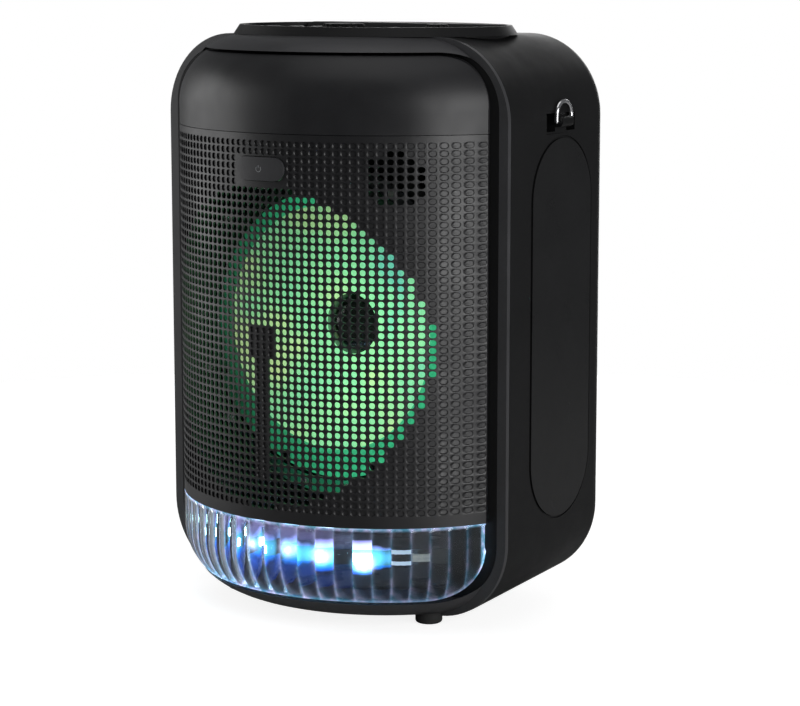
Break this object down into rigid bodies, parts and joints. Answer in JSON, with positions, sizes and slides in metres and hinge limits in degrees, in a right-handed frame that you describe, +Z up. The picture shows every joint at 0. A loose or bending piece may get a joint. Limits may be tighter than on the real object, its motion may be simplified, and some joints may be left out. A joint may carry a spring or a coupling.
{
  "type": "party speaker",
  "caption": "Upright portable party speaker with a bowed dimpled grille, a fluted light lens below, side strap rings and a top collar with controls and a grip.",
  "frame": {"origin": "middle of the base, on the surface that the rubber feet stand on", "axes": "+Z up; the grille faces -Y; +X is to the viewer's right"},
  "size_m": [0.28, 0.2156, 0.3914],
  "materials": {
    "black_texture_plastic": "fine moulded texture",
    "black_satin_plastic": "satin",
    "grille_plastic": "satin, dimpled",
    "grey_button_plastic": "satin",
    "knob_plastic": "gloss with bright edge",
    "panel_gloss": "gloss",
    "clear_lens": "clear moulded plastic, fluted",
    "smoked_window": "smoked clear plastic",
    "reflector_plastic": "metallised plastic",
    "white_board": "white solder mask",
    "circuit_board": "green solder mask",
    "led_package": "lit",
    "black_rubber": "matt",
    "cone_paper": "pressed paper pulp, lit by the ring",
    "gloss_cap": "high gloss",
    "copper_wire": "enamelled wire",
    "spider_cloth": "resin-stiffened cloth",
    "zinc_steel": "zinc plated",
    "black_steel": "black oxide",
    "ferrite": "sintered ferrite",
    "chrome_wire": "bright",
    "cast_aluminium": "extruded",
    "battery_wrap": "shrink wrap"
  },
  "bodies": {
    "cabinet": {"amplifier_heatsink": "cast_aluminium", "aux_jack": "black_satin_plastic", "bass_port": "black_satin_plastic", "battery_cradle": "black_texture_plastic", "battery_pack": "battery_wrap", "carry_handle": "black_texture_plastic", "case_screws": "black_steel", "charge_inlet": "black_satin_plastic", "cone_light_ring": "white_board", "control_board": "circuit_board", "control_panel": "panel_gloss", "display_window": "smoked_window", "driver_baffle": "black_texture_plastic", "front_bezel": "black_satin_plastic", "front_cap": "black_satin_plastic", "front_grille": "grille_plastic", "hand_well": "black_texture_plastic", "handle_grip": "black_rubber", "jack_panel": "panel_gloss", "lens_leds": "led_package", "light_lens": "clear_lens", "light_reflector": "reflector_plastic", "light_strip": "white_board", "main_board": "circuit_board", "mic_jacks": "black_satin_plastic", "power_switch_board": "circuit_board", "rear_cabinet": "black_texture_plastic", "rear_panel": "black_texture_plastic", "ring_leds": "led_package", "rocker_frame": "black_satin_plastic", "rotary_pots": "zinc_steel", "rubber_feet": "black_rubber", "side_panels": "black_satin_plastic", "strap_brackets": "black_texture_plastic", "top_collar": "black_texture_plastic", "top_plate": "black_texture_plastic", "tweeter_dome": "gloss_cap", "tweeter_frame": "black_satin_plastic", "tweeter_magnet": "ferrite", "usb_socket": "zinc_steel", "woofer_frame": "black_steel", "woofer_magnet": "ferrite", "woofer_motor_plates": "zinc_steel", "woofer_spider": "spider_cloth", "woofer_surround": "black_rubber"},
    "power_button": {"power_button": "grey_button_plastic"},
    "volume_control": {"volume_knob": "knob_plastic", "volume_shaft": "zinc_steel"},
    "mic_control": {"mic_knob": "knob_plastic", "mic_shaft": "zinc_steel"},
    "mode_key": {"mode_button": "grey_button_plastic"},
    "play_key": {"play_button": "grey_button_plastic"},
    "light_key": {"light_button": "grey_button_plastic"},
    "source_key": {"source_button": "grey_button_plastic"},
    "rocker": {"power_rocker": "grey_button_plastic"},
    "ring_left": {"strap_ring_left": "chrome_wire"},
    "ring_right": {"strap_ring_right": "chrome_wire"},
    "cone_assembly": {"woofer_cone": "cone_paper", "woofer_dust_cap": "gloss_cap", "woofer_voice_coil": "copper_wire"}
  },
  "joints": [
    {"name": "power_button_press", "type": "slide", "parent": "cabinet", "child": "power_button", "axis": [0, 1, 0], "range_m": [0, 0.001], "stiffness_N_per_m": 400},
    {"name": "mode_press", "type": "slide", "parent": "cabinet", "child": "mode_key", "axis": [0, 0, -1], "range_m": [0, 0.001], "stiffness_N_per_m": 400},
    {"name": "play_press", "type": "slide", "parent": "cabinet", "child": "play_key", "axis": [0, 0, -1], "range_m": [0, 0.001], "stiffness_N_per_m": 400},
    {"name": "light_press", "type": "slide", "parent": "cabinet", "child": "light_key", "axis": [0, 0, -1], "range_m": [0, 0.001], "stiffness_N_per_m": 400},
    {"name": "source_press", "type": "slide", "parent": "cabinet", "child": "source_key", "axis": [0, 0, -1], "range_m": [0, 0.001], "stiffness_N_per_m": 400},
    {"name": "volume_turn", "type": "hinge", "parent": "cabinet", "child": "volume_control", "pos_m": [0, -0.015, 0.388], "axis": [0, 0, 1], "continuous": true},
    {"name": "mic_turn", "type": "hinge", "parent": "cabinet", "child": "mic_control", "pos_m": [0.067, -0.004, 0.388], "axis": [0, 0, 1], "range_deg": [-150, 150]},
    {"name": "rocker_tilt", "type": "hinge", "parent": "cabinet", "child": "rocker", "pos_m": [-0.004, 0.1037, 0.12], "axis": [0, 0, 1], "range_deg": [-8, 8]},
    {"name": "ring_right_swing", "type": "hinge", "parent": "cabinet", "child": "ring_right", "pos_m": [0.1364, 0.041, 0.329], "axis": [0, 1, 0], "range_deg": [0, 170]},
    {"name": "ring_left_swing", "type": "hinge", "parent": "cabinet", "child": "ring_left", "pos_m": [-0.1364, 0.041, 0.329], "axis": [0, -1, 0], "range_deg": [0, 170]},
    {"name": "cone_excursion", "type": "slide", "parent": "cabinet", "child": "cone_assembly", "axis": [0, -1, 0], "range_m": [-0.004, 0.004], "stiffness_N_per_m": 2500, "deforming": ["woofer_surround", "woofer_spider"]}
  ]
}
